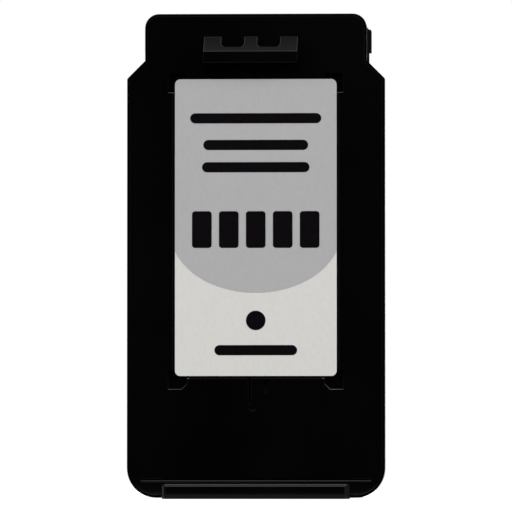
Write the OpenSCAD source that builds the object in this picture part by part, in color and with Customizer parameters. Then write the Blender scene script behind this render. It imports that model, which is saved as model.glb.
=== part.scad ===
/* [Lid] */
// Width across the lid and the guide wings under it
lid_w = 33; // [31:0.5:36]
// Length from the finger lip's end to the head end
lid_len = 62.1; // [60:0.1:66]
// Thickness of the lid plate
lid_t = 1.8; // [1.5:0.1:2.4]
// Width of the narrow head end
head_w = 28.4; // [27.6:0.2:29.6]
// Length of the narrow head end, down to the 45 degree shoulders
head_len = 6; // [4.5:0.5:7]
// Corner radius at the head end
head_r = 1.8; // [1:0.1:2.4]
// Corner radius at the finger-lip end
foot_r = 3.8; // [2:0.2:5]
// Rounding along the lid's front edges
edge_r = 0.45; // [0.2:0.05:0.6]
// Height of the locating rim inside the lid
rim_h = 1.6; // [1.2:0.1:1.8]
// Height of the ribs that hold the absorber down
rib_h = 2.2; // [1.8:0.1:3]
// Thickness of those ribs and of the locating rim
rib_t = 1; // [0.8:0.1:1.4]
// Number of ribs across the lid
rib_count = 4; // [2:1:6]

/* [Latch catch] */
// Width of the catch
catch_w = 12; // [9:0.5:15]
// Distance of the catch's middle from the lid's middle line
catch_x = -0.6; // [-2:0.1:2]
// Height of the catch above the lid
catch_h = 3; // [2:0.1:4]
// Distance from the head end to the toe of the ramp
catch_toe = 3; // [2.4:0.1:4]
// Length of the ramp, from its toe to the crest
ramp_len = 2.05; // [1.6:0.05:2.4]
// Length of the flat top behind the crest
catch_top = 1.4; // [0.9:0.1:2]
// Width of each of the two notches in the ramp
notch_w = 2.9; // [2:0.1:3.5]
// Width of the tooth between the notches
tooth_w = 1.7; // [1:0.1:2.4]
// Depth of the notches into the ramp
notch_len = 1.4; // [0.6:0.05:1.5]
// Radius in the notches' inner corners
notch_r = 0.5; // [0.1:0.1:0.6]

/* [Finger lip] */
// Width of the finger lip
lip_w = 24; // [16:0.5:26]
// Length of the lip along the cartridge
lip_len = 1.85; // [1.2:0.05:1.9]
// Height of the lip above the lid
lip_h = 2; // [1.2:0.1:3]
// How far the lip stands out past the lid's end
lip_proud = 0.15; // [0.1:0.05:0.4]
// Bevel along the lip's upper edge
lip_bevel = 0.25; // [0.1:0.05:0.5]
// Radius of the lip's upper corners
lip_r = 0.45; // [0.2:0.05:0.8]
// Slope of the lip's ends, from foot to face
lip_draft = 0.5; // [0.2:0.1:1]
// Length of the groove above the lip
groove_len = 29.6; // [20:0.2:30]
// Width of that groove
groove_w = 0.45; // [0.3:0.05:0.6]
// Depth of that groove
groove_depth = 0.5; // [0.4:0.1:0.8]
// Depth of the slope along its lower side
groove_slope = 0.12; // [0.05:0.01:0.3]
// Height of the groove's middle above the base
groove_z = 2.35; // [2.3:0.05:3]

/* [Label] */
// Width of the label
label_w = 20.7; // [18:0.1:22]
// Height of the label's lower edge above the base
label_z = 15.7; // [12:0.1:16]
// Distance from the head end to the label's upper edge
label_from_head = 8.4; // [7.6:0.1:12]
// Thickness of the label
label_t = 0.12; // [0.08:0.02:0.16]
// Corner radius of the label
label_r = 0.7; // [0.3:0.1:1.5]
// Depth of the recess that holds the label
recess_depth = 0.28; // [0.2:0.02:0.5]
// Gap round the label in its recess
recess_gap = 0.3; // [0.1:0.05:0.5]
// Thickness of the printed ink
print_t = 0.03; // [0.02:0.01:0.05]
// How far the ends of the curve under the grey field lie beyond the label's sides
arc_over = 0.55; // [0.1:0.05:2]
// Share of the label's height from its top down to that curve's ends
arc_share = 0.5145; // [0.48:0.0005:0.55]
// Share of the label's height that the curve drops
drop_share = 0.2055; // [0.15:0.0005:0.22]
// Share of the label's width that the longest bar takes
bar_share = 0.81; // [0.7:0.01:0.85]
// Height of the bars that stand for lines of words
bar_h = 1.3; // [0.8:0.1:1.8]
// Height of the blocks of the level gauge
gauge_h = 4.7; // [3:0.1:5.5]
// Width of each block
gauge_block = 2.5; // [1.5:0.1:2.8]
// Distance between the blocks' middles
gauge_pitch = 3.45; // [2.9:0.05:3.6]
// Corner radius of the blocks
gauge_r = 0.4; // [0.1:0.05:0.7]
// Radius of the dot
dot_r = 1.25; // [0.8:0.05:2]
// Size of the square pockets at the label's corners
pocket = 2.4; // [1.6:0.1:3]
// Depth of those pockets
pocket_depth = 0.9; // [0.4:0.1:1.1]

/* [Vent] */
// Radius of the vent hole under the label
vent_r = 0.5; // [0.3:0.1:0.8]
// Width of the fine groove that leads air to it
vent_w = 0.3; // [0.2:0.05:0.4]
// Depth of the fine groove below the label's recess
vent_depth = 0.3; // [0.2:0.05:0.4]
// Distance of the groove's open end from the middle line
vent_x = -0.77; // [-4:0.1:4]
// Length of the groove that shows below the label
vent_out = 3.4; // [1:0.1:5]
// Half width of the groove's turns under the label
vent_run = 5; // [3:0.5:8]
// Distance between its turns
vent_pitch = 1.6; // [1:0.1:2]
// Number of its turns
vent_turns = 4; // [2:1:5]
// Distance from that groove to the short one beside it
second_gap = 2.05; // [1:0.05:3]
// Length of the short groove
second_len = 1.3; // [0.5:0.1:2]

/* [Tank] */
// Width of the tank
tank_w = 26; // [25:0.5:27]
// Depth from the lid's face to the tank's back
tank_depth = 30; // [26:0.5:32]
// Wall thickness of the tank
wall = 1.3; // [1:0.1:1.8]
// Thickness of the wing flange under the lid
wing_t = 1.4; // [1:0.1:2]
// Distance from the head end to the contact wall
end_inset = 1; // [0.7:0.1:1.3]
// Rounding of the tank's long back edges
tank_r = 2; // [1:0.5:3]
// Corner radius inside the tank
cavity_r = 1; // [0.5:0.1:2]
// Reach of the side bosses beside the head, from the middle line
boss_reach = 14.6; // [14.2:0.1:15]
// Length of the side bosses
boss_len = 2.8; // [2:0.1:3.4]
// Height of the side bosses above the ribs that carry them
boss_h = 0.3; // [0.1:0.05:0.6]
// Distance from the lid's face to those ribs
boss_front = 7; // [5:0.5:9]
// Depth of the ribs from there
boss_depth = 4; // [3:0.5:6]
// Height of the flat stop pads
stop_h = 0.6; // [0.4:0.05:0.8]
// Width of the stop pads
stop_w = 4; // [3:0.2:5]
// Length of the two pads on the end wall
end_stop_len = 4.4; // [3:0.2:5]
// Length of the two pads on the tank's back
back_stop_len = 5; // [3:0.2:7]
// Distance of the pads' middles from the middle line
stop_x = 8; // [6:0.5:9]

/* [Print head] */
// Depth from the lid's face to the face that carries the chip
head_depth = 41; // [38:0.5:44]
// Width of the snout
snout_w = 22; // [21.6:0.2:23]
// Rounding of the snout's long edges
snout_r = 0.8; // [0.3:0.1:0.9]
// Length of the snout's face
snout_len = 24; // [23:0.5:26]
// Length of the slope that leads into the snout
funnel = 5; // [3:0.5:6]
// Radius of the edge that the wiring tape bends round
bend_r = 1.5; // [1:0.1:2]
// Length of the chip
chip_len = 15.9; // [14:0.1:16.5]
// Width of the chip
chip_w = 2.9; // [2.4:0.1:4]
// Thickness of the chip
chip_t = 0.6; // [0.5:0.05:0.75]
// Distance from the contact wall to the chip's middle
chip_from_end = 12.5; // [12:0.1:13]
// Length of the ink slot through the chip
slot_len = 13.5; // [11:0.5:14]
// Width of the ink slot through the chip
slot_w = 0.3; // [0.15:0.05:0.4]
// Thickness of the nozzle plate
nozzle_t = 0.03; // [0.02:0.01:0.05]
// Thickness of the bond under the chip
bond_t = 0.08; // [0.05:0.01:0.12]
// Gap between the chip and the sides of its recess
chip_gap = 0.6; // [0.4:0.05:0.9]
// Corner radius of that recess
recess_r = 0.3; // [0.1:0.05:0.5]
// Ledge from the slot's edge out to the bond and the ink path's wall
slot_ledge = 0.4; // [0.2:0.05:0.6]
// Depth of the ink path's straight neck under the chip
neck = 1; // [0.5:0.1:2]
// Length of the ink outlet under the filter
outlet_len = 13.5; // [10:0.5:15]
// Width of the ink outlet under the filter
outlet_w = 8; // [5:0.5:12]
// Height of the filter's seat above the tank floor
seat_h = 2; // [1:0.1:3]
// Width of the seat's rim
seat_rim = 1.1; // [0.8:0.1:1.6]
// Thickness of the filter screen
filter_t = 0.15; // [0.1:0.01:0.25]

/* [Wiring tape] */
// Width of the tape
tape_w = 20; // [18:0.2:20.4]
// Thickness of the tape
tape_t = 0.1; // [0.08:0.01:0.14]
// Thickness of the adhesive under it
glue_t = 0.05; // [0.04:0.01:0.08]
// Depth from the lid's face to the tape's end on the contact wall
tape_y = 14; // [13:0.5:15]
// Distance from the snout's foot to the tape's end on the nozzle face
tape_foot = 0.6; // [0.4:0.1:1.5]
// Corner radius of the tape's ends
tape_r = 1.2; // [0.5:0.1:2]
// Number of rows of contact pads
pad_rows = 5; // [4:1:5]
// Distance between the columns of pads
pad_pitch_x = 2.9; // [2.6:0.05:2.95]
// Distance between the rows
pad_pitch_y = 3.3; // [2.6:0.1:3.5]
// Width of a pad
pad_w = 1.6; // [1:0.1:1.8]
// Length of a pad
pad_len = 2.2; // [1.4:0.1:2.4]
// Corner radius of a pad
pad_r = 0.3; // [0.1:0.05:0.6]
// Distance from the bend to the middle of the first row of pads
pad_from_bend = 2.2; // [1.6:0.1:3]
// Thickness of the plated copper
copper_t = 0.03; // [0.02:0.01:0.04]
// Width of a conductor trace
trace_w = 0.2; // [0.15:0.05:0.3]
// Distance between traces that run side by side
trace_step = 0.5; // [0.4:0.05:0.55]
// Gap between the chip's recess and the first trace
trace_gap = 0.3; // [0.2:0.05:0.5]
// Distance from the tape's side edges to the stake posts' middles
stake_from_side = 1.5; // [1.3:0.1:2]
// Distance from the tape's end to the stake posts' middles
stake_from_end = 1.6; // [1.3:0.1:2.5]
// Radius of the stake posts that hold the tape
stake_r = 0.6; // [0.4:0.05:0.8]
// Radius of the posts' pressed heads
stake_head_r = 1.05; // [0.9:0.05:1.2]
// Height of the pressed heads
stake_head_h = 0.4; // [0.3:0.05:0.45]
// Width of a lead
lead_w = 0.12; // [0.08:0.01:0.15]
// Thickness of a lead
lead_t = 0.04; // [0.03:0.01:0.06]
// Length of a lead that lies on the chip's end
lead_land = 0.5; // [0.3:0.05:0.55]
// Height of the sealant beads above the tape
bead_h = 0.25; // [0.15:0.05:0.35]

/* [Clearances] */
// Gap between the lid's locating rim and the tank
lid_fit = 0.1; // [0.05:0.05:0.3]
// Gap between the absorber and the tank's walls
absorber_fit = 0.15; // [0.1:0.05:0.4]
// Gap round the stake posts in the tape
stake_fit = 0.08; // [0.05:0.01:0.15]
// Gap between the nozzle plate's ends and the leads
nozzle_fit = 0.05; // [0.03:0.01:0.1]

/* [Hidden] */
$fn = 64;

// Reach of a cut past the face it starts from
past = 1;

// Lid and label
shoulder_z = lid_len - head_len;
label_top = lid_len - label_from_head;
label_h = label_top - label_z;
label_face = recess_depth - label_t;
arc_a = label_w / 2 + arc_over;
arc_b = drop_share * label_h;
arc_z = label_top - arc_share * label_h;
edge_steps = 5;
arc_steps = 12;
curve_steps = 60;

// Tank, from the lid's face backwards
wing_back = lid_t + wing_t;
end_z = lid_len - end_inset;
cavity_w = tank_w - 2 * wall;
cavity_len = end_z - 2 * wall;
floor_y = tank_depth - wall;
seat_y = floor_y - seat_h;
absorber_front = lid_t + rib_h;

// Print head
snout_z = end_z - snout_len;
chip_z = end_z - chip_from_end;
tape_back = head_depth + glue_t + tape_t;
nozzle_back = tape_back;
chip_back = nozzle_back - nozzle_t;
chip_front = chip_back - chip_t;
recess_y = chip_front - bond_t;
recess_w = chip_w + 2 * chip_gap;
recess_len = chip_len + 2 * chip_gap;
nozzle_len = chip_len - 2 * (lead_land + nozzle_fit);
filter_w = outlet_w + seat_rim;
filter_len = outlet_len + seat_rim;

// Wiring tape
tape_z = snout_z + tape_foot;
first_pad_y = head_depth - bend_r - pad_from_bend;
stake_x = tape_w / 2 - stake_from_side;
stake_y = tape_y + stake_from_end;

// Columns of pads, and leads at each end of the chip, on either side of the middle line
side_cols = 3;
side_leads = 4;
trace_aside = (pad_pitch_x - pad_w) / 4;
lead_pitch = chip_w / (2 * side_leads + 1);

// The frame's middle, from the catch's crest to the sealant beads
mid_y = (tape_back + bead_h - catch_h) / 2;

module in_place() translate([0, -mid_y, 0]) children();

// Flat shape drawn across and up, from one depth behind the lid's face to another
module plate(front, back)
    translate([0, back, 0]) rotate([90, 0, 0]) linear_extrude(back - front) children();

// Side section drawn in depth and height, as wide as stated and centred
module section(width)
    translate([-width / 2, 0, 0]) rotate([90, 0, 90]) linear_extrude(width) children();

// Points of an arc, for outlines
function arc(centre, r, from, to) =
    [for (i = [0:arc_steps]) let (angle = from + (to - from) * i / arc_steps)
        centre + r * [cos(angle), sin(angle)]];

function flip(points) =
    [for (i = [len(points) - 1:-1:0]) [-points[i][0], points[i][1]]];

// Rectangle with rounded corners, centred across and standing on its lower edge
module rounded(w, h, r) {
    translate([-w / 2 + r, 0]) square([w - 2 * r, h]);
    translate([-w / 2, r]) square([w, h - 2 * r]);
    for (x = [-1, 1], z = [r, h - r])
        translate([x * (w / 2 - r), z]) circle(r);
}

// Wide part of the outline, from the rounded foot to the shoulders, drawn in from its edge
function wide_points(inset) =
    let (right = concat(
        arc([lid_w / 2 - foot_r, lip_proud + foot_r], foot_r - inset, 270, 360),
        [
            [lid_w / 2 - inset, shoulder_z - (lid_w - head_w) / 2 - inset * tan(22.5)],
            [head_w / 2 - inset * sqrt(2), shoulder_z]
        ]
    ))
    concat(right, flip(right));

// Narrow head of the outline, which starts inside the wide part
function head_points(inset) =
    let (right = concat(
        [[head_w / 2 - inset, shoulder_z - head_len]],
        arc([head_w / 2 - head_r, lid_len - head_r], head_r - inset, 0, 90)
    ))
    concat(right, flip(right));

module lid_outline() {
    polygon(wide_points(0));
    polygon(head_points(0));
}

function ring(points, depth) = [for (p = points) [p[0], depth, p[1]]];

// Solid through rings of points, from the front ring to the back one
module loft(rings) {
    n = len(rings[0]);
    last = len(rings) - 1;
    polyhedron(
        points = [for (r = rings) each r],
        faces = concat(
            [[for (i = [n - 1:-1:0]) i]],
            [for (k = [0:last - 1], i = [0:n - 1])
                let (j = (i + 1) % n) [k * n + i, k * n + j, (k + 1) * n + j, (k + 1) * n + i]],
            [[for (i = [0:n - 1]) last * n + i]]
        )
    );
}

// How far in the front edge's rounding lies at each step, and how deep
function round_in(i) = edge_r * (1 - sin(90 * i / edge_steps));
function round_deep(i) = edge_r * (1 - cos(90 * i / edge_steps));

module lid_plate() {
    steps = [0:edge_steps];
    loft(concat([for (i = steps) ring(wide_points(round_in(i)), round_deep(i))],
        [ring(wide_points(0), lid_t)]));
    loft(concat([for (i = steps) ring(head_points(round_in(i)), round_deep(i))],
        [ring(head_points(0), lid_t)]));
}

// Latch catch: a ramp with two notches, a crest and a flat top
module latch_catch() {
    toe = lid_len - catch_toe;
    crest = toe - ramp_len;
    foot = crest - catch_top;
    soft = 0.15;
    translate([catch_x, 0, 0]) difference() {
        section(catch_w)
            polygon([
                [edge_r, toe], [0, toe], [soft - catch_h, crest + soft],
                [-catch_h, crest], [-catch_h, foot + soft], [soft - catch_h, foot],
                [edge_r, foot]
            ]);
        for (side = [-1, 1])
            translate([side * (tooth_w + notch_w) / 2, 0, toe - notch_len])
                plate(-catch_h - past, 0) rounded(notch_w, notch_len + past, notch_r);
    }
}

// Finger lip: a bar with a bevelled upper edge, rounded upper corners and sloped ends, whose
// lower end runs back into the lid
module finger_lip() {
    soft = 0.15;
    inside = lid_t / 2;
    intersection() {
        section(lip_w)
            polygon([
                [inside, 0], [soft - lip_h, 0], [-lip_h, soft],
                [-lip_h, lip_len - lip_bevel], [lip_bevel - lip_h, lip_len], [inside, lip_len]
            ]);
        linear_extrude(lip_len)
            polygon([
                [-lip_w / 2, inside], [-lip_w / 2, 0], [lip_draft - lip_w / 2, -lip_h],
                [lip_w / 2 - lip_draft, -lip_h], [lip_w / 2, 0], [lip_w / 2, inside]
            ]);
        plate(-lip_h, inside) translate([0, -past]) rounded(lip_w, lip_len + past, lip_r);
    }
}

// Groove above the lip: a slot with a sloped lower side and pointed ends
module foot_groove() {
    point = groove_w;
    half = groove_w / 2;
    intersection() {
        section(groove_len)
            polygon([
                [-past, groove_z - half], [0, groove_z - half], [groove_slope, groove_z],
                [groove_depth, groove_z], [groove_depth, groove_z + half],
                [-past, groove_z + half]
            ]);
        plate(-past, groove_depth) translate([0, groove_z])
            polygon([
                [-groove_len / 2, 0], [point - groove_len / 2, -half],
                [groove_len / 2 - point, -half], [groove_len / 2, 0],
                [groove_len / 2 - point, half], [point - groove_len / 2, half]
            ]);
    }
}

// Square pockets under the label's corners, each with one corner cut off
module corner_pockets() {
    inward = 0.35;
    drop = 0.5;
    cut = 0.7;
    for (side = [-1, 1], z = [label_z, label_top])
        translate([side * (label_w / 2 - inward), 0, z - drop - pocket / 2])
            plate(-past, pocket_depth) scale([side, 1])
                polygon([
                    [cut - pocket / 2, 0], [pocket / 2, 0], [pocket / 2, pocket],
                    [-pocket / 2, pocket], [-pocket / 2, cut]
                ]);
}

// Straight stretches of a groove between points
module groove_run(points, depth) {
    for (i = [0:len(points) - 2]) {
        low = [min(points[i][0], points[i + 1][0]), min(points[i][1], points[i + 1][1])];
        size = [abs(points[i][0] - points[i + 1][0]), abs(points[i][1] - points[i + 1][1])];
        plate(-past, depth)
            translate(low - [vent_w / 2, vent_w / 2]) square(size + [vent_w, vent_w]);
    }
}

// Vent hole, the turns of its fine groove under the label, and the open end below it
module vent() {
    hole_z = label_z + label_h / 2;
    turn_z = [for (i = [0:vent_turns]) hole_z - i * vent_pitch];
    path = concat(
        [[0, hole_z]],
        [for (i = [0:vent_turns - 1], end = [0, 1])
            [(i % 2 == 0 ? 1 : -1) * vent_run, turn_z[i + end]]],
        [[vent_x, turn_z[vent_turns]], [vent_x, label_z - vent_out]]
    );
    second_x = vent_x + second_gap;
    second_drop = 0.7;
    translate([0, 0, hole_z]) plate(-past, lid_t + past) circle(vent_r);
    groove_run(path, recess_depth + vent_depth);
    groove_run([
        [second_x, label_z - second_drop], [second_x, label_z - second_drop - second_len]
    ], vent_depth);
}

// Small round gate mark below the vent groove's end
module gate_mark() {
    mark_r = 0.4;
    mark_depth = 0.1;
    mark_drop = 0.7;
    translate([vent_x / 2, 0, label_z - vent_out - mark_drop])
        plate(-past, mark_depth) circle(mark_r);
}

// Inner side of the lid: the locating rim and the ribs over the absorber
module lid_inside() {
    rim_w = cavity_w - 2 * lid_fit;
    rim_len = cavity_len - 2 * lid_fit;
    rim_r = cavity_r - lid_fit;
    plate(lid_t - edge_r, lid_t + rim_h) translate([0, wall + lid_fit]) difference() {
        rounded(rim_w, rim_len, rim_r);
        translate([0, rib_t]) rounded(rim_w - 2 * rib_t, rim_len - 2 * rib_t, rim_r / 2);
    }
    pitch = (rim_w - rib_t) / (rib_count + 1);
    rib_len = cavity_len - 2 * (lid_fit + rib_t);
    for (i = [1:rib_count])
        plate(lid_t - edge_r, absorber_front)
            translate([i * pitch - rim_w / 2, wall + lid_fit + rib_t / 2])
                square([rib_t, rib_len + rib_t]);
}

module lid() color([0.07, 0.07, 0.07]) in_place() difference() {
    union() {
        lid_plate();
        latch_catch();
        finger_lip();
        lid_inside();
    }
    plate(-past, recess_depth) translate([0, label_z - recess_gap])
        rounded(label_w + 2 * recess_gap, label_h + 2 * recess_gap, label_r);
    corner_pockets();
    foot_groove();
    vent();
    gate_mark();
}

module label_outline() translate([0, label_z]) rounded(label_w, label_h, label_r);

module label() color([0.82, 0.81, 0.8]) in_place()
    plate(label_face, recess_depth) label_outline();

// The grey field covers the label down to a curve that hangs like a bowl
module label_grey_field() color([0.66, 0.66, 0.66]) in_place()
    plate(label_face - print_t, label_face) intersection() {
        label_outline();
        union() {
            translate([-arc_a, arc_z]) square([2 * arc_a, label_h]);
            translate([0, arc_z])
                polygon([for (i = [0:curve_steps]) let (angle = 180 + 180 * i / curve_steps)
                    [arc_a * cos(angle), arc_b * sin(angle)]]);
        }
    }

// Bar with round ends, centred
module bar(w) {
    square([w - bar_h, bar_h], center = true);
    for (side = [-1, 1]) translate([side * (w - bar_h) / 2, 0]) circle(bar_h / 2);
}

// Plain dark print: three bars, a level gauge of five blocks, a dot and one more bar, placed
// by shares of the label's height
module label_marks() color([0.08, 0.07, 0.07]) in_place() {
    longest = bar_share * label_w;
    widths = [longest, 0.8 * longest, 0.82 * longest];
    bar_shares = [0.868, 0.778, 0.703];
    gauge_share = 0.493;
    dot_share = 0.187;
    last_share = 0.087;
    last_w = 0.63 * longest;
    grey_face = label_face - print_t;
    plate(grey_face - print_t, grey_face) {
        for (i = [0:2]) translate([0, label_z + bar_shares[i] * label_h]) bar(widths[i]);
        for (i = [-2:2])
            translate([i * gauge_pitch, label_z + gauge_share * label_h - gauge_h / 2])
                rounded(gauge_block, gauge_h, gauge_r);
    }
    plate(label_face - print_t, label_face) {
        translate([0, label_z + dot_share * label_h]) circle(dot_r);
        translate([0, label_z + last_share * label_h]) bar(last_w);
    }
}

// Side section of the housing's contact corner, grown by a layer's distance
module corner_section(grow) {
    back = head_depth + grow;
    top = end_z + grow;
    r = bend_r + grow;
    square([back - r, top]);
    square([back, top - r]);
    translate([back - r, top - r]) circle(r);
}

// Plan section that is rounded along its two back edges
module plan_section(w, back, r) {
    translate([-w / 2, 0]) square([w, back - r]);
    translate([r - w / 2, 0]) square([w - 2 * r, back]);
    for (x = [-1, 1]) translate([x * (w / 2 - r), back - r]) circle(r);
}

module tank_body() intersection() {
    section(tank_w) translate([lid_t, lip_proud]) square([tank_depth - lid_t, end_z - lip_proud]);
    linear_extrude(end_z) plan_section(tank_w, tank_depth, tank_r);
}

// Flat land on the tank's lower end, level with the lip, that the cartridge stands on
module standing_land() {
    margin = 2;
    translate([margin - tank_w / 2, wing_back + margin, 0])
        cube([tank_w - 2 * margin, tank_depth - wing_back - 2 * margin, wall / 2]);
}

// Snout that carries the chip, with the slope that leads into it
module snout() intersection() {
    section(snout_w) intersection() {
        corner_section(0);
        polygon([
            [floor_y, snout_z - funnel - wall], [tank_depth + funnel, snout_z],
            [head_depth + past, snout_z], [head_depth + past, end_z + past],
            [floor_y, end_z + past]
        ]);
    }
    linear_extrude(end_z) plan_section(snout_w, head_depth, snout_r);
}

// Ink path from the filter's seat, narrowing to the slot under the chip
module ink_path() {
    wide = outlet_w / 2;
    narrow = slot_w / 2 + slot_ledge;
    translate([0, 0, chip_z - outlet_len / 2]) linear_extrude(outlet_len)
        polygon([
            [-wide, seat_y - past], [wide, seat_y - past], [wide, tank_depth],
            [narrow, recess_y - neck], [narrow, head_depth], [-narrow, head_depth],
            [-narrow, recess_y - neck], [-wide, tank_depth]
        ]);
}

// Outline of the recess that holds the chip, and of the tape's device hole over it
module recess_outline()
    translate([0, chip_z - recess_len / 2]) rounded(recess_w, recess_len, recess_r);

module filter_seat()
    plate(seat_y, tank_depth) translate([0, chip_z - outlet_len / 2 - seat_rim])
        rounded(outlet_w + 2 * seat_rim, outlet_len + 2 * seat_rim, seat_rim);

// Side bosses that locate the cartridge beside its head, on ribs with a lead-in at their ends
module side_bosses() {
    lead_in = 0.5;
    boss_top = end_z - 0.6;
    inner = tank_w / 2 - wall / 2;
    rib_reach = boss_reach - boss_h;
    for (side = [-1, 1])
        plate(boss_front, boss_front + boss_depth) scale([side, 1])
            polygon([
                [inner, shoulder_z], [rib_reach, shoulder_z], [rib_reach, boss_top - boss_len],
                [boss_reach, boss_top - boss_len], [boss_reach, boss_top], [rib_reach, boss_top],
                [rib_reach, end_z - lead_in], [rib_reach - lead_in, end_z], [inner, end_z]
            ]);
}

// Flat pads that stop the cartridge against its holder, on the end wall and on the back
module stop_pads() {
    end_stop_y = wing_back + 1.6;
    back_stop_z = 6;
    for (side = [-1, 1]) {
        translate([side * stop_x - stop_w / 2, end_stop_y, end_z - wall / 2])
            cube([stop_w, end_stop_len, wall / 2 + stop_h]);
        plate(floor_y + wall / 2, tank_depth + stop_h)
            translate([side * stop_x - stop_w / 2, back_stop_z]) square([stop_w, back_stop_len]);
    }
}

module stake_places() {
    for (side = [-1, 1]) translate([side * stake_x, stake_y, 0]) children();
}

// Posts through the tape, pressed into flat heads over it
module stake_posts() stake_places() {
    top_share = 0.7;
    translate([0, 0, end_z - wall / 2]) cylinder(r = stake_r, h = wall / 2 + glue_t + tape_t);
    translate([0, 0, end_z + glue_t + tape_t])
        cylinder(r1 = stake_head_r, r2 = top_share * stake_head_r, h = stake_head_h);
}

module tank_housing() color([0.09, 0.09, 0.09]) in_place() difference() {
    union() {
        difference() {
            union() {
                plate(lid_t, wing_back) lid_outline();
                tank_body();
                standing_land();
                snout();
            }
            plate(lid_t - past, floor_y) translate([0, wall]) rounded(cavity_w, cavity_len, cavity_r);
        }
        filter_seat();
        side_bosses();
        stop_pads();
        stake_posts();
    }
    ink_path();
    plate(recess_y, head_depth + past) recess_outline();
}

// Fibre block under the lid's ribs, pressed over the filter's seat
module ink_absorber() color([0.16, 0.16, 0.17]) in_place() {
    w = cavity_w - 2 * absorber_fit;
    length = cavity_len - 2 * absorber_fit;
    seat_w = outlet_w + 2 * (seat_rim + absorber_fit);
    seat_len = outlet_len + 2 * (seat_rim + absorber_fit);
    difference() {
        plate(absorber_front, floor_y)
            translate([0, wall + absorber_fit]) rounded(w, length, cavity_r - absorber_fit);
        plate(seat_y - filter_t, floor_y + past)
            translate([0, chip_z - seat_len / 2]) rounded(seat_w, seat_len, seat_rim);
    }
}

module filter_screen() color([0.7, 0.7, 0.72]) in_place()
    plate(seat_y - filter_t, seat_y)
        translate([0, chip_z - filter_len / 2]) rounded(filter_w, filter_len, seat_rim / 2);

// A block about the chip's middle, with the ink slot through it
module slotted(w, length, front, back, slot)
    plate(front, back) translate([0, chip_z]) difference() {
        square([w, length], center = true);
        square([slot, slot_len], center = true);
    }

module head_chip() color([0.3, 0.32, 0.36]) in_place()
    slotted(chip_w, chip_len, chip_front, chip_back, slot_w);

module chip_adhesive() color([0.75, 0.72, 0.6]) in_place()
    slotted(chip_w, chip_len, recess_y, chip_front, slot_w + 2 * slot_ledge);

module nozzle_plate() color([0.75, 0.62, 0.35]) in_place()
    plate(chip_back, nozzle_back)
        translate([0, chip_z]) square([chip_w, nozzle_len], center = true);

// Fill between the chip's long sides and the recess
module chip_sealant() color([0.12, 0.12, 0.12]) in_place() {
    side_x = (chip_w + chip_gap) / 2;
    for (side = [-1, 1])
        plate(recess_y, chip_back)
            translate([side * side_x, chip_z]) square([chip_gap, chip_len], center = true);
}

// Distance of a lead from the middle line, counted outwards
function lead_x(i) = (i + 0.5) * lead_pitch;

// Leads from the tape's edge to the chip's two short ends
module lead_rows() {
    inner = chip_len / 2 - lead_land;
    for (side = [-1, 1], end = [-1, 1], i = [0:side_leads - 1])
        plate(chip_back, chip_back + lead_t)
            translate([side * lead_x(i), chip_z + end * (inner + recess_len / 2) / 2])
                square([lead_w, recess_len / 2 - inner], center = true);
}

module inner_leads() color([0.85, 0.68, 0.3]) in_place() lead_rows();

// Radius of the circle through a bead's crown and its two edges
function crown_r(width, rise) = (width * width / 4 + rise * rise) / (2 * rise);

// A bead over each row of leads, which also fills the recess beyond the chip's end
module lead_sealant() color([0.1, 0.1, 0.1]) in_place() {
    bead_len = chip_gap + lead_land;
    bead_w = recess_w - 2 * recess_r;
    rise = nozzle_back + bead_h - chip_back;
    for (end = [-1, 1]) difference() {
        union() {
            plate(recess_y, chip_back) intersection() {
                recess_outline();
                translate([0, chip_z + end * (chip_len + chip_gap) / 2])
                    square([recess_w, chip_gap], center = true);
            }
            translate([0, chip_back, chip_z + end * (recess_len - bead_len) / 2]) intersection() {
                section(bead_w) intersection() {
                    translate([rise - crown_r(bead_len, rise), 0]) circle(crown_r(bead_len, rise));
                    translate([0, -bead_len / 2]) square([rise, bead_len]);
                }
                translate([0, rise - crown_r(bead_w, rise), 0])
                    cylinder(r = crown_r(bead_w, rise), h = bead_len, center = true);
            }
        }
        lead_rows();
    }
}

// Layer of the tape: a band round the contact corner, from one distance off the housing to another
module tape_band(from, to, width) section(width) intersection() {
    difference() {
        corner_section(to);
        corner_section(from);
    }
    translate([tape_y, tape_z]) square([head_depth, end_z]);
}

// A layer of the tape with its device hole, its stake holes and its rounded ends
module tape_layer(from, to) difference() {
    intersection() {
        tape_band(from, to, tape_w);
        plate(0, tape_back + past) translate([0, tape_z])
            rounded(tape_w, end_z - tape_z + tape_r + past, tape_r);
        translate([0, tape_y, 0]) linear_extrude(end_z + past)
            rounded(tape_w, tape_back - tape_y + tape_r + past, tape_r);
    }
    plate(head_depth - bend_r - past, tape_back + past) recess_outline();
    stake_places() translate([0, 0, end_z - past])
        cylinder(r = stake_r + stake_fit, h = 2 * past);
}

module tape_adhesive() color([0.6, 0.45, 0.2]) in_place() tape_layer(0, glue_t);

module wiring_tape() color([0.62, 0.38, 0.1]) in_place() tape_layer(glue_t, glue_t + tape_t);

// Places of the pads: columns counted outwards from the middle, rows towards the bend
function pad_x(col) = (col + 0.5) * pad_pitch_x;
function pad_y(row) = first_pad_y - (pad_rows - 1 - row) * pad_pitch_y;

// Rows of flat pads on the contact wall
module contact_pads() color([0.86, 0.68, 0.32]) in_place() {
    for (side = [-1, 1], col = [0:side_cols - 1], row = [0:pad_rows - 1])
        translate([side * pad_x(col), pad_y(row) - pad_len / 2, end_z + glue_t + tape_t])
            linear_extrude(copper_t) rounded(pad_w, pad_len, pad_r);
}

// Each trace on one side: its distance from the middle, the pad row it starts at, and
// which way it turns to that pad (-1 inwards, 1 outwards, 0 where it runs straight into it)
function trace_list() =
    [for (col = [0:side_cols - 1], way = [1, 0, -1]) if (col < side_cols - 1 || way > -1)
        [
            pad_x(col) - way * (pad_pitch_x / 2 - trace_aside),
            pad_rows - 1 - abs(way) - (way < 0 ? 1 : 0),
            way
        ]];

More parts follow.
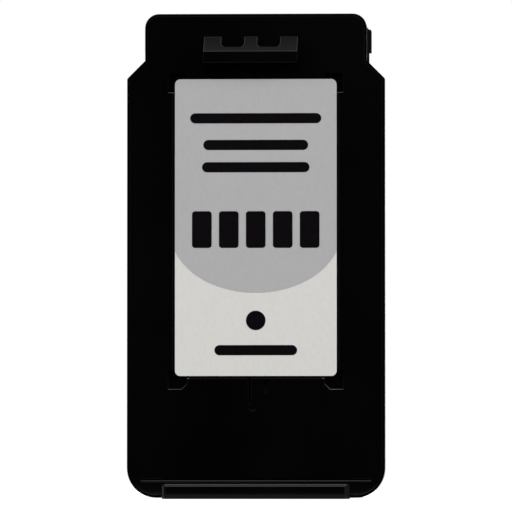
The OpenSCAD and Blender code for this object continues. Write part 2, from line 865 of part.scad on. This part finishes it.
// Flat stretch of a trace between two points
module stretch(a, b) {
    low = [min(a[0], b[0]), min(a[1], b[1])] - [trace_w / 2, trace_w / 2];
    high = [max(a[0], b[0]), max(a[1], b[1])] + [trace_w / 2, trace_w / 2];
    polygon([low, [high[0], low[1]], high, [low[0], high[1]]]);
}

// One trace: from its pad, round the bend, down the nozzle face and in to its lead
module trace(i) {
    route = trace_list()[i];
    upper = i < side_leads;
    order = upper ? side_leads - 1 - i : i - side_leads;
    edge = chip_z + (upper ? 1 : -1) * recess_len / 2;
    turn = edge + (upper ? 1 : -1) * (trace_gap + order * trace_step);
    lead = lead_x(upper ? i : side_leads - 1 - order);
    x = route[0];
    way = route[2];
    start = pad_y(route[1]) + (way == 0 ? pad_len / 2 : 0);
    from = glue_t + tape_t;
    translate([x, 0, 0]) intersection() {
        tape_band(from, from + copper_t, trace_w);
        translate([-trace_w, start, turn]) cube([2 * trace_w, head_depth, end_z]);
    }
    plate(tape_back, tape_back + copper_t) {
        stretch([x, turn], [lead, turn]);
        stretch([lead, turn], [lead, edge + (upper ? 1 : -1) * trace_w / 2]);
    }
    if (way != 0) {
        pad_edge = x + way * trace_aside;
        translate([min(x, pad_edge), start - trace_w / 2, end_z + from])
            cube([abs(pad_edge - x), trace_w, copper_t]);
    }
}

module conductor_traces() color([0.5, 0.3, 0.12]) in_place()
    for (side = [0, 1], i = [0:2 * side_leads - 1]) mirror([side, 0, 0]) trace(i);

tank_housing();
lid();
label();
label_grey_field();
label_marks();
ink_absorber();
filter_screen();
head_chip();
nozzle_plate();
chip_adhesive();
chip_sealant();
inner_leads();
lead_sealant();
wiring_tape();
tape_adhesive();
conductor_traces();
contact_pads();
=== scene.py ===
import math

import bpy
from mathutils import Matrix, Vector


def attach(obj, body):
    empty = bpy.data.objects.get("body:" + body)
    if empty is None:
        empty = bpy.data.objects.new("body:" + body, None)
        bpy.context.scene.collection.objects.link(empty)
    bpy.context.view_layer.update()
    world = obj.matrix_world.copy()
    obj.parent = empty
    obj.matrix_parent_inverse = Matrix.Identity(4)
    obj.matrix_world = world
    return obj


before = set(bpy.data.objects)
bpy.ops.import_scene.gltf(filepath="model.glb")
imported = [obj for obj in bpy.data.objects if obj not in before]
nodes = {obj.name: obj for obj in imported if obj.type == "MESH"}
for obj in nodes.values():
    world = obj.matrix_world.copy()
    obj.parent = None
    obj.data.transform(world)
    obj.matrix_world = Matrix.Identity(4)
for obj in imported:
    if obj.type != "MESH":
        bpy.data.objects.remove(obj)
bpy.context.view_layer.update()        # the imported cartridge, in metres, standing on its finger-lip end
print("cartridge loaded,", len(nodes), "parts")


# Camera, where the photo was taken from

shot = {
    "aim": (0.00004, -0.0192, 0.03104),   # on the label's plane, in the middle of the picture
    "distance": 0.800,
    "toRight": 2.4,                       # degrees round to the right of straight ahead
    "below": 2.1,                         # degrees under the label's middle
    "lens": 440.0,                        # millimetres, as the sensor's width is
    "sensor": 36.0,
    "nearest": 0.01,                      # nothing nearer or farther is drawn
    "farthest": 20.0,
}


def placeCamera():
    side, drop = math.radians(shot["toRight"]), math.radians(shot["below"])
    level = math.cos(drop)
    back = Vector((math.sin(side) * level, -math.cos(side) * level, -math.sin(drop)))
    data = bpy.data.cameras.new("camera")
    data.lens = shot["lens"]
    data.sensor_width = shot["sensor"]
    data.clip_start = shot["nearest"]
    data.clip_end = shot["farthest"]
    camera = bpy.data.objects.new("camera", data)
    camera.location = Vector(shot["aim"]) + back * shot["distance"]
    camera.rotation_mode = "QUATERNION"
    camera.rotation_quaternion = (-back).to_track_quat("-Z", "Y")
    bpy.context.scene.collection.objects.link(camera)
    bpy.context.scene.camera = camera


placeCamera()
print("camera placed")


# Small tools for the shader trees

def startMaterial(name):
    material = bpy.data.materials.new(name)
    material.use_nodes = True
    return material, material.node_tree, material.node_tree.nodes["Principled BSDF"]


def addNode(tree, kind, values=None, **settings):
    made = tree.nodes.new("ShaderNode" + kind)
    for key, value in settings.items():
        setattr(made, key, value)
    for key, value in (values or {}).items():
        made.inputs[key].default_value = value
    return made


# The part's own coordinates, in metres, stretched by scale
def place(tree, scale=(1, 1, 1)):
    coordinates = addNode(tree, "TexCoord")
    mapping = addNode(tree, "Mapping", {"Scale": scale})
    tree.links.new(coordinates.outputs["Object"], mapping.inputs["Vector"])
    return mapping.outputs["Vector"]


# Noise whose lumps are about size metres across, from 0 to 1
def grain(tree, size, detail=2.0, roughness=0.5, stretch=(1, 1, 1)):
    noise = addNode(tree, "TexNoise", {"Scale": 1 / size, "Detail": detail, "Roughness": roughness})
    tree.links.new(place(tree, stretch), noise.inputs["Vector"])
    return noise.outputs["Fac"]


# Turns a factor into a value between low and high
def spread(tree, factor, low, high, fromLow=0.3, fromHigh=0.7):
    remap = addNode(tree, "MapRange", {
        "From Min": fromLow, "From Max": fromHigh, "To Min": low, "To Max": high,
    })
    tree.links.new(factor, remap.inputs["Value"])
    return remap.outputs["Result"]


# Two colours mixed by a factor, over the middle of its range
def blendColours(tree, factor, first, second):
    ramp = addNode(tree, "ValToRGB")
    for stop, position, colour in zip(ramp.color_ramp.elements, (0.35, 0.65), (first, second)):
        stop.position = position
        stop.color = (*colour, 1)
    tree.links.new(factor, ramp.inputs["Fac"])
    return ramp.outputs["Color"]


# Bump of the given depth in metres
def relief(tree, height, depth):
    bump = addNode(tree, "Bump", {"Strength": 1.0, "Distance": depth})
    tree.links.new(height, bump.inputs["Height"])
    return bump.outputs["Normal"]


# One axis of a vector, 0 to 2 for X to Z
def axis(tree, vector, number):
    split = addNode(tree, "SeparateXYZ")
    tree.links.new(vector, split.inputs["Vector"])
    return split.outputs[number]


# Arithmetic on two numbers, each of them plain or from a node
def calculate(tree, operation, first, second):
    made = addNode(tree, "Math", operation=operation)
    for socket, value in zip(made.inputs, (first, second)):
        if isinstance(value, (int, float)):
            socket.default_value = value
        else:
            tree.links.new(value, socket)
    return made.outputs["Value"]


# Sets plain values on the shader's own sockets
def setPlain(shader, values):
    for key, value in values.items():
        shader.inputs[key].default_value = value


# Black mouldings

lidLook = {
    "dark": (0.0003, 0.0003, 0.0003),
    "light": (0.0008, 0.0008, 0.0008),
    "cloud": 0.012,          # size of the faint cloudiness
    "texture": 0.00012,      # size of the mould's fine texture
    "textureDepth": 0.0000035,
    "rough": (0.24, 0.30),
    "specular": 0.17,
    "fades": [               # where the sheen fades as a surface turns away, and how early
        {   # catch and lip
            "low": (-1, -0.0230, -1), "high": (1, -0.01925, 1),
            "turn": (0.12, 0.50), "most": 0.86,
        },
        {   # rim
            "low": (-1, -0.01919, -1), "high": (1, -0.01875, 1),
            "turn": (0.02, 0.10), "most": 1.0,
        },
    ],
    "upward": (0.45, 0.70),  # how far up a surface faces before the painted light from above goes on it
    "paintedLight": [                # where the painted light from above lies, and its colour there; at the lip's ends it is a painted highlight on every side
        {   # catch and lip
            "low": (-1, -0.0230, 0), "high": (1, -0.0194, 1),
            "colour": 0.012,
        },
        {   # lip's left end
            "low": (-0.0121, -0.0230, 0), "high": (-0.01168, -0.0194, 0.0022),
            "colour": 0.047, "allRound": True,
        },
        {   # lip's right end
            "low": (0.0114, -0.0230, 0), "high": (0.0121, -0.0194, 0.0022),
            "colour": 0.012, "allRound": True,
        },
    ],
}

# The lid's small edges are coloured a little lighter than its faces, a painted highlight, and are shinier
lidEdgeHighlightLook = {
    "dark": (0.0010, 0.0010, 0.0010),
    "light": (0.0015, 0.0015, 0.0015),
    "cloud": 0.012,
    "texture": 0.00012,
    "textureDepth": 0.000002,
    "rough": (0.24, 0.30),
    "specular": 0.10,
    "fades": [{"low": (-1, -1, -1), "high": (1, 1, 1), "turn": (0.75, 0.95), "most": 1.0}],
    "upward": (0.35, 0.75),
    # painted highlights on the edges that face up, brightest on the pockets' lower walls and the lip's
    # front
    "paintedLight": [
        {   # groove and lip
            "low": (-1, -0.0230, 0), "high": (1, -0.0180, 0.0045),
            "colour": 0.060,
        },
        {   # lip's front
            "low": (-1, -0.0230, 0), "high": (1, -0.0200, 0.0045),
            "colour": 0.110,
        },
        {   # catch
            "low": (-0.0080, -0.0230, 0.0500), "high": (0.0080, -0.0180, 0.0600),
            "colour": 0.060,
        },
        {   # left pockets
            "low": (-0.0125, -0.0230, 0.0100), "high": (-0.0085, -0.0180, 0.0550),
            "colour": 0.180,
        },
        {   # right pockets
            "low": (0.0085, -0.0230, 0.0100), "high": (0.0125, -0.0180, 0.0550),
            "colour": 0.180,
        },
    ],
}

housingLook = {
    "dark": (0.0020, 0.0020, 0.0021),
    "light": (0.0034, 0.0034, 0.0035),
    "cloud": 0.009,
    "texture": 0.00022,
    "textureDepth": 0.000009,
    "rough": (0.36, 0.46),
    "specular": 0.3,
    "fades": [{"low": (-1, -1, -1), "high": (1, 1, 1), "turn": (0.50, 0.85), "most": 1.0}],
}

# Faint marks of the melt's flow, which change the gloss
flowMarks = {
    "longer": 1.7,           # than the cloudiness
    "stretch": (1, 1, 0.35),
}


# 1 between two opposite corners of a box, else 0
def insideBox(tree, low, high):
    point = place(tree)
    inside = 1.0
    for i in range(3):
        value = axis(tree, point, i)
        past = calculate(tree, "GREATER_THAN", value, low[i])
        short = calculate(tree, "LESS_THAN", value, high[i])
        inside = calculate(tree, "MULTIPLY", inside, calculate(tree, "MULTIPLY", past, short))
    return inside


# The moulds' fine texture takes the sheen away where the surface is seen edge on
def fadeSheen(tree, shader, colour, look):
    matt = addNode(tree, "BsdfDiffuse")
    edgeOn = addNode(tree, "LayerWeight", {"Blend": 0.5})
    both = addNode(tree, "MixShader")
    faded = 0.0
    for fade in look["fades"]:
        turned = spread(tree, edgeOn.outputs["Facing"], 0.0, fade["most"], *fade["turn"])
        here = calculate(tree, "MULTIPLY", turned, insideBox(tree, fade["low"], fade["high"]))
        faded = calculate(tree, "MAXIMUM", faded, here)
    tree.links.new(colour, matt.inputs["Color"])
    tree.links.new(faded, both.inputs["Fac"])
    tree.links.new(shader.outputs["BSDF"], both.inputs[1])
    tree.links.new(matt.outputs["BSDF"], both.inputs[2])
    tree.links.new(both.outputs["Shader"], tree.nodes["Material Output"].inputs["Surface"])


# Painted light: what faces up is coloured a little lighter, as if lit from above, and allRound boxes are
# coloured lighter on every side as a painted highlight
def paintLightFromAbove(tree, colour, look):
    surface = addNode(tree, "NewGeometry")
    upward = spread(tree, axis(tree, surface.outputs["Normal"], 2), 0.0, 1.0, *look["upward"])
    for paintedLight in look["paintedLight"]:
        grey = paintedLight["colour"]
        mixed = addNode(tree, "MixRGB", {"Color2": (grey, grey, grey, 1)})
        facing = 1.0 if paintedLight.get("allRound") else upward
        here = calculate(tree, "MULTIPLY", insideBox(tree, paintedLight["low"], paintedLight["high"]), facing)
        tree.links.new(here, mixed.inputs["Fac"])
        tree.links.new(colour, mixed.inputs["Color1"])
        colour = mixed.outputs["Color"]
    return colour


def mouldedPlastic(name, look):
    material, tree, shader = startMaterial(name)
    colour = blendColours(tree, grain(tree, look["cloud"], detail=3), look["dark"], look["light"])
    # painted light from above, where the look lists it
    if "paintedLight" in look:
        colour = paintLightFromAbove(tree, colour, look)
    tree.links.new(colour, shader.inputs["Base Color"])
    texture = grain(tree, look["texture"], detail=2)
    flow = grain(tree, look["cloud"] * flowMarks["longer"], detail=1, stretch=flowMarks["stretch"])
    tree.links.new(spread(tree, flow, *look["rough"]), shader.inputs["Roughness"])
    tree.links.new(relief(tree, texture, look["textureDepth"]), shader.inputs["Normal"])
    setPlain(shader, {"Specular IOR Level": look["specular"]})
    fadeSheen(tree, shader, colour, look)
    return material


# Label film and its print

labelLook = {
    "paleField": ((0.628, 0.614, 0.588), (0.652, 0.640, 0.614)),
    "greyField": ((0.392, 0.392, 0.393), (0.410, 0.410, 0.411)),
    "darkPrint": ((0.0018, 0.0012, 0.0018), (0.0030, 0.0022, 0.0030)),
    "fibre": 0.00035,        # size of the stock's faint mottle
    "fibreStretch": (1, 1, 0.5),
    "grain": 0.00009,
    "grainDepth": 0.000002,
    "sheen": 0.006,          # size of the patches in the gloss
    "rough": (0.40, 0.48),
    "inkRougher": 0.05,      # how much rougher the dark print is
    "specular": 0.10,
}


def printedFilm(name, colours, roughUp=0.0):
    material, tree, shader = startMaterial(name)
    stretch = labelLook["fibreStretch"]
    mottle = grain(tree, labelLook["fibre"], detail=4, roughness=0.6, stretch=stretch)
    tree.links.new(blendColours(tree, mottle, *colours), shader.inputs["Base Color"])
    sheen = grain(tree, labelLook["sheen"], detail=2)
    low, high = labelLook["rough"]
    tree.links.new(spread(tree, sheen, low + roughUp, high + roughUp), shader.inputs["Roughness"])
    fine = grain(tree, labelLook["grain"], detail=2)
    tree.links.new(relief(tree, fine, labelLook["grainDepth"]), shader.inputs["Normal"])
    setPlain(shader, {"Specular IOR Level": labelLook["specular"]})
    return material


# Inside and at the print head

fibreLook = {
    "colours": ((0.004, 0.004, 0.005), (0.03, 0.03, 0.034)),
    "strand": 0.0004,
    "stretch": (0.25, 1, 1),
    "rough": (0.75, 0.95),
    "depth": 0.0001,
}


def inkyFibre(name):
    material, tree, shader = startMaterial(name)
    stretch = fibreLook["stretch"]
    strands = grain(tree, fibreLook["strand"], detail=5, roughness=0.7, stretch=stretch)
    tree.links.new(blendColours(tree, strands, *fibreLook["colours"]), shader.inputs["Base Color"])
    tree.links.new(spread(tree, strands, *fibreLook["rough"]), shader.inputs["Roughness"])
    tree.links.new(relief(tree, strands, fibreLook["depth"]), shader.inputs["Normal"])
    return material


screenLook = {
    "colours": ((0.05, 0.05, 0.05), (0.55, 0.55, 0.56)),
    "weave": 3200.0,         # how close the wires lie
    "depth": 0.00001,
    "rough": 0.35,
}


def wovenScreen(name):
    material, tree, shader = startMaterial(name)
    vector = place(tree)
    wires = 0.0
    for direction in ("X", "Z"):
        wave = addNode(tree, "TexWave", {"Scale": screenLook["weave"]}, bands_direction=direction)
        tree.links.new(vector, wave.inputs["Vector"])
        wires = calculate(tree, "MAXIMUM", wires, wave.outputs["Fac"])
    tree.links.new(blendColours(tree, wires, *screenLook["colours"]), shader.inputs["Base Color"])
    tree.links.new(relief(tree, wires, screenLook["depth"]), shader.inputs["Normal"])
    setPlain(shader, {"Metallic": 1.0, "Roughness": screenLook["rough"]})
    return material


siliconLook = {
    "colours": ((0.09, 0.10, 0.13), (0.13, 0.14, 0.17)),
    "haze": 0.0008,
    "rough": (0.12, 0.25),
    "metal": 0.6,
}


def polishedSilicon(name):
    material, tree, shader = startMaterial(name)
    haze = grain(tree, siliconLook["haze"], detail=3)
    tree.links.new(blendColours(tree, haze, *siliconLook["colours"]), shader.inputs["Base Color"])
    tree.links.new(spread(tree, haze, *siliconLook["rough"]), shader.inputs["Roughness"])
    setPlain(shader, {"Metallic": siliconLook["metal"]})
    return material


resinLook = {
    "colours": ((0.16, 0.085, 0.025), (0.21, 0.12, 0.04)),
    "haze": 0.0012,
    "rough": (0.16, 0.28),
    "coat": {"Coat Weight": 0.5, "Coat Roughness": 0.08},
}


def orificeResin(name):
    material, tree, shader = startMaterial(name)
    haze = grain(tree, resinLook["haze"], detail=3)
    tree.links.new(blendColours(tree, haze, *resinLook["colours"]), shader.inputs["Base Color"])
    tree.links.new(spread(tree, haze, *resinLook["rough"]), shader.inputs["Roughness"])
    setPlain(shader, resinLook["coat"])
    return material


bondLook = {
    "lump": 0.0009,
    "depth": 0.00004,
    "coat": {"Coat Weight": 0.4, "Coat Roughness": 0.12},
}

bonds = {                    # the darkest and lightest colour of each, and how rough
    "chip bond": ((0.30, 0.26, 0.17), (0.38, 0.33, 0.23), (0.3, 0.45)),
    "chip fill": ((0.008, 0.008, 0.008), (0.016, 0.016, 0.016), (0.22, 0.36)),
    "bead black": ((0.006, 0.006, 0.006), (0.014, 0.014, 0.014), (0.16, 0.30)),
    "tape glue": ((0.20, 0.10, 0.03), (0.26, 0.14, 0.05), (0.4, 0.55)),
    "orifice ink": ((0.004, 0.004, 0.004), (0.010, 0.010, 0.010), (0.3, 0.5)),
}


def curedBond(name):
    material, tree, shader = startMaterial(name)
    dark, light, rough = bonds[name]
    lumps = grain(tree, bondLook["lump"], detail=3)
    tree.links.new(blendColours(tree, lumps, dark, light), shader.inputs["Base Color"])
    tree.links.new(spread(tree, lumps, *rough), shader.inputs["Roughness"])
    tree.links.new(relief(tree, lumps, bondLook["depth"]), shader.inputs["Normal"])
    setPlain(shader, bondLook["coat"])
    return material


tapeLook = {
    "film": ((0.30, 0.115, 0.018), (0.40, 0.165, 0.028)),
    "copper": ((0.24, 0.075, 0.018), (0.33, 0.11, 0.026)),
    "cloud": 0.003,
    "rough": (0.22, 0.34),
    "ripple": 0.004,
    "rippleDepth": 0.00003,
    "coat": {"Coat Weight": 0.6, "Coat Roughness": 0.1},
}


def amberFilm(name, colours):
    material, tree, shader = startMaterial(name)
    cloud = grain(tree, tapeLook["cloud"], detail=4)
    tree.links.new(blendColours(tree, cloud, *colours), shader.inputs["Base Color"])
    tree.links.new(spread(tree, cloud, *tapeLook["rough"]), shader.inputs["Roughness"])
    ripple = grain(tree, tapeLook["ripple"], detail=1)
    tree.links.new(relief(tree, ripple, tapeLook["rippleDepth"]), shader.inputs["Normal"])
    setPlain(shader, tapeLook["coat"])
    return material


goldLook = {
    "colours": ((0.83, 0.58, 0.20), (0.92, 0.68, 0.29)),
    "haze": 0.0006,
    "scratch": 0.00012,
    "stretch": (1, 0.08, 0.08),
    "rough": (0.2, 0.36),
    "depth": 0.0000015,
}


def goldPlate(name):
    material, tree, shader = startMaterial(name)
    haze = grain(tree, goldLook["haze"], detail=4)
    tree.links.new(blendColours(tree, haze, *goldLook["colours"]), shader.inputs["Base Color"])
    brushed = grain(tree, goldLook["scratch"], detail=3, stretch=goldLook["stretch"])
    tree.links.new(spread(tree, brushed, *goldLook["rough"]), shader.inputs["Roughness"])
    tree.links.new(relief(tree, brushed, goldLook["depth"]), shader.inputs["Normal"])
    setPlain(shader, {"Metallic": 1.0})
    return material


finishes = {
    "tank_housing": mouldedPlastic("housing black", housingLook),
    "lid": mouldedPlastic("lid black", lidLook),
    "label": printedFilm("label pale", labelLook["paleField"]),
    "label_grey_field": printedFilm("label grey", labelLook["greyField"]),
    "label_marks": printedFilm("label dark print", labelLook["darkPrint"], labelLook["inkRougher"]),
    "ink_absorber": inkyFibre("ink fibre"),
    "filter_screen": wovenScreen("woven screen"),
    "head_chip": polishedSilicon("silicon"),
    "nozzle_plate": orificeResin("nozzle resin"),
    "chip_adhesive": curedBond("chip bond"),
    "chip_sealant": curedBond("chip fill"),
    "inner_leads": goldPlate("lead gold"),
    "lead_sealant": curedBond("bead black"),
    "wiring_tape": amberFilm("tape film", tapeLook["film"]),
    "tape_adhesive": curedBond("tape glue"),
    "conductor_traces": amberFilm("covered copper", tapeLook["copper"]),
    "contact_pads": goldPlate("pad gold"),
}
for name, material in finishes.items():
    for slot in nodes[name].material_slots:
        slot.material = material
print("finishes on", len(finishes), "parts")


# Edges of the mouldings, cut parts and plated pieces, which are never knife sharp

softening = {
    "weld": 0.000001,        # points nearer than this are one
    "flat": 0.6,             # degrees, faces that turn less are one
    "corner": 35,            # degrees, edges that turn more are rounded
    "crease": 50,            # degrees, edges that turn more stay sharp in the shading
    "segments": 2,
}

edges = {
    "lid": {"radius": 0.00007, "clamped": False},
    "tank_housing": {"radius": 0.00015, "clamped": True},
    "label": {"radius": 0.00002, "clamped": True},
    "contact_pads": {"radius": 0.000008, "clamped": True},
    "conductor_traces": {"radius": 0.000008, "clamped": True},
    "lead_sealant": {"radius": 0.00001, "clamped": True},
}


# Smooth shading up to a sharp angle, on whatever the modifiers before it made
def shadingTree():
    tree = bpy.data.node_groups.new("soft shading", "GeometryNodeTree")
    tree.interface.new_socket("Geometry", in_out="INPUT", socket_type="NodeSocketGeometry")
    tree.interface.new_socket("Geometry", in_out="OUTPUT", socket_type="NodeSocketGeometry")
    came = tree.nodes.new("NodeGroupInput")
    went = tree.nodes.new("NodeGroupOutput")
    faces = tree.nodes.new("GeometryNodeSetShadeSmooth")
    faces.domain = "FACE"
    creases = tree.nodes.new("GeometryNodeSetShadeSmooth")
    creases.domain = "EDGE"
    creases.inputs["Shade Smooth"].default_value = False
    angle = tree.nodes.new("GeometryNodeInputMeshEdgeAngle")
    steep = tree.nodes.new("FunctionNodeCompare")
    steep.operation = "GREATER_THAN"
    steep.inputs["B"].default_value = math.radians(softening["crease"])
    links = [
        (came.outputs[0], faces.inputs["Geometry"]),
        (faces.outputs["Geometry"], creases.inputs["Geometry"]),
        (angle.outputs["Unsigned Angle"], steep.inputs["A"]),
        (steep.outputs["Result"], creases.inputs["Selection"]),
        (creases.outputs["Geometry"], went.inputs[0]),
    ]
    for start, end in links:
        tree.links.new(start, end)
    return tree


def softenEdges(part, edge, shading):
    weld = part.modifiers.new("weld", "WELD")
    weld.merge_threshold = softening["weld"]
    flats = part.modifiers.new("flats", "DECIMATE")
    flats.decimate_type = "DISSOLVE"
    flats.angle_limit = math.radians(softening["flat"])
    bevel = part.modifiers.new("edges", "BEVEL")
    bevel.width = edge["radius"]
    bevel.segments = softening["segments"]
    bevel.use_clamp_overlap = edge["clamped"]
    bevel.limit_method = "ANGLE"
    bevel.angle_limit = math.radians(softening["corner"])
    bevel.material = len(part.material_slots) - 1    # the last slot
    smooth = part.modifiers.new("shading", "NODES")
    smooth.node_group = shading
    normals = part.modifiers.new("normals", "WEIGHTED_NORMAL")
    normals.keep_sharp = True


# the bevelled edges get the lighter painted-highlight colour
nodes["lid"].data.materials.append(mouldedPlastic("lid edges painted highlight", lidEdgeHighlightLook))
shading = shadingTree()
for name, edge in edges.items():
    softenEdges(nodes[name], edge, shading)
print("edges softened on", len(edges), "parts")


# Two rows of fine orifices along the nozzle plate, beside the ink slot under it

orifices = {
    "number": 120,           # in each row
    "fromMiddle": 0.00042,   # of the row to the plate's middle
    "endMargin": 0.0009,
    "stagger": 0.25,         # shift of each row, up or down, in pitches
    "radius": 0.00003,
    "sides": 10,
    "proud": 0.0000015,      # so that they show on the plate
}


def drawOrifices(plate):
    corners = [plate.matrix_world @ Vector(corner) for corner in plate.bound_box]
    low = [min(corner[i] for corner in corners) for i in range(3)]
    high = [max(corner[i] for corner in corners) for i in range(3)]
    middle, face = (low[0] + high[0]) / 2, high[1] + orifices["proud"]
    start, end = low[2] + orifices["endMargin"], high[2] - orifices["endMargin"]
    pitch = (end - start) / (orifices["number"] - 1)
    points, faces = [], []
    for row in (-1, 1):
        for i in range(orifices["number"]):
            across = middle + row * orifices["fromMiddle"]
            along = start + (i + row * orifices["stagger"]) * pitch
            first = len(points)
            for j in range(orifices["sides"]):
                turn = 2 * math.pi * j / orifices["sides"]
                right, up = orifices["radius"] * math.cos(turn), orifices["radius"] * math.sin(turn)
                points.append((across + right, face, along + up))
            faces.append(tuple(reversed(range(first, len(points)))))
    mesh = bpy.data.meshes.new("nozzle_orifices")
    mesh.from_pydata(points, [], faces)
    mesh.materials.append(curedBond("orifice ink"))
    piece = bpy.data.objects.new("nozzle_orifices", mesh)
    bpy.context.scene.collection.objects.link(piece)
    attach(piece, "root")


drawOrifices(nodes["nozzle_plate"])
print("orifices drawn,", 2 * orifices["number"])


# Studio: pale floor, white surroundings, soft lamps, and black cards that only reflections see

studio = {
    "floorSize": 3.0,
    "floorDrop": 0.00002,                  # keeps the floor clear of the face that stands on it
    "floorColour": (0.35, 0.35, 0.35, 1),
    "floorGlow": (0.84, 1.0),              # what it adds for the eye and reflections, near and far
    "nearBy": (0.05, 0.30),                # how far from the middle that changes
    "surroundings": 0.15,                  # soft light from all round
}

lamps = {                    # in watts, and whether a gloss mirrors them
    "rightLamp": {"place": (0.60, -0.60, 0.32), "size": 0.45, "power": 5.5, "mirrored": False},
    "leftLamp": {"place": (-0.60, -0.60, 0.32), "size": 0.45, "power": 4.7, "mirrored": False},
    "backLamp": {"place": (-0.30, 0.70, 0.45), "size": 0.80, "power": 6.0, "mirrored": True},
}

cards = {                    # two opposite corners of each
    "cardFront": ((-0.55, -0.85, 0.0), (0.55, -0.85, 0.38)),
    "cardUnder": ((-0.55, -0.85, 0.0005), (0.55, -0.0225, 0.0005)),
    "cardBehind": ((0.10, 0.60, 0.0), (0.60, 0.60, 0.40)),
}

cardLook = {
    "colour": (0.004, 0.004, 0.004, 1),
    "specular": 0.1,
    "grain": 0.02,
    "rough": (0.85, 0.95),
}


# 1 for rays from the eye, from a gloss and through a clear part, else 0
def seenRays(tree):
    path = addNode(tree, "LightPath")
    seen = path.outputs["Is Camera Ray"]
    for other in ("Is Glossy Ray", "Is Transmission Ray"):
        seen = calculate(tree, "MAXIMUM", seen, path.outputs[other])
    return seen


def lightSurroundings():
    world = bpy.data.worlds.new("surroundings")
    bpy.context.scene.world = world
    world.use_nodes = True
    tree = world.node_tree
    background = tree.nodes["Background"]
    background.inputs["Color"].default_value = (1, 1, 1, 1)
    strength = addNode(tree, "MapRange", {"To Min": studio["surroundings"], "To Max": 1.0})
    tree.links.new(seenRays(tree), strength.inputs["Value"])
    tree.links.new(strength.outputs["Result"], background.inputs["Strength"])


# A rectangle between two opposite corners that share one coordinate
def flatSheet(name, low, high, material):
    flat = [i for i in range(3) if low[i] == high[i]][0]
    first, second = [i for i in range(3) if i != flat]
    corners = []
    for far in ((), (first,), (first, second), (second,)):
        corners.append(tuple(high[i] if i in far else low[i] for i in range(3)))
    mesh = bpy.data.meshes.new(name)
    mesh.from_pydata(corners, [], [(0, 1, 2, 3)])
    mesh.materials.append(material)
    sheet = bpy.data.objects.new(name, mesh)
    bpy.context.scene.collection.objects.link(sheet)
    return sheet


def floorMaterial():
    material, tree, shader = startMaterial("floor white")
    tree.nodes.remove(shader)
    matt = addNode(tree, "BsdfDiffuse", {"Color": studio["floorColour"]})
    glow = addNode(tree, "Emission")
    away = addNode(tree, "VectorMath", operation="LENGTH")
    strength = addNode(tree, "MapRange")
    both = addNode(tree, "AddShader")
    tree.links.new(place(tree), away.inputs[0])
    brightness = spread(tree, away.outputs["Value"], *studio["floorGlow"], *studio["nearBy"])
    tree.links.new(brightness, strength.inputs["To Max"])
    tree.links.new(seenRays(tree), strength.inputs["Value"])
    tree.links.new(strength.outputs["Result"], glow.inputs["Strength"])
    tree.links.new(matt.outputs["BSDF"], both.inputs[0])
    tree.links.new(glow.outputs["Emission"], both.inputs[1])
    tree.links.new(both.outputs["Shader"], tree.nodes["Material Output"].inputs["Surface"])
    return material


def cardMaterial():
    material, tree, shader = startMaterial("black card")
    worn = grain(tree, cardLook["grain"])
    tree.links.new(spread(tree, worn, *cardLook["rough"]), shader.inputs["Roughness"])
    setPlain(shader, {"Base Color": cardLook["colour"], "Specular IOR Level": cardLook["specular"]})
    return material


def hangLamp(name, lamp):
    data = bpy.data.lights.new(name, "AREA")
    data.shape = "SQUARE"
    data.size = lamp["size"]
    data.energy = lamp["power"]
    made = bpy.data.objects.new(name, data)
    made.location = lamp["place"]
    made.rotation_mode = "QUATERNION"
    made.rotation_quaternion = (Vector(shot["aim"]) - made.location).to_track_quat("-Z", "Y")
    made.visible_camera = False
    made.visible_glossy = lamp["mirrored"]
    bpy.context.scene.collection.objects.link(made)


lightSurroundings()
half, floorHeight = studio["floorSize"] / 2, -studio["floorDrop"]
flatSheet("floor", (-half, -half, floorHeight), (half, half, floorHeight), floorMaterial())
black = cardMaterial()
for name, corners in cards.items():
    card = flatSheet(name, *corners, black)
    card.visible_camera = False
    card.visible_diffuse = False
    card.visible_shadow = False
for name, lamp in lamps.items():
    hangLamp(name, lamp)
bpy.context.scene.view_settings.view_transform = "Standard"
print("studio lit")
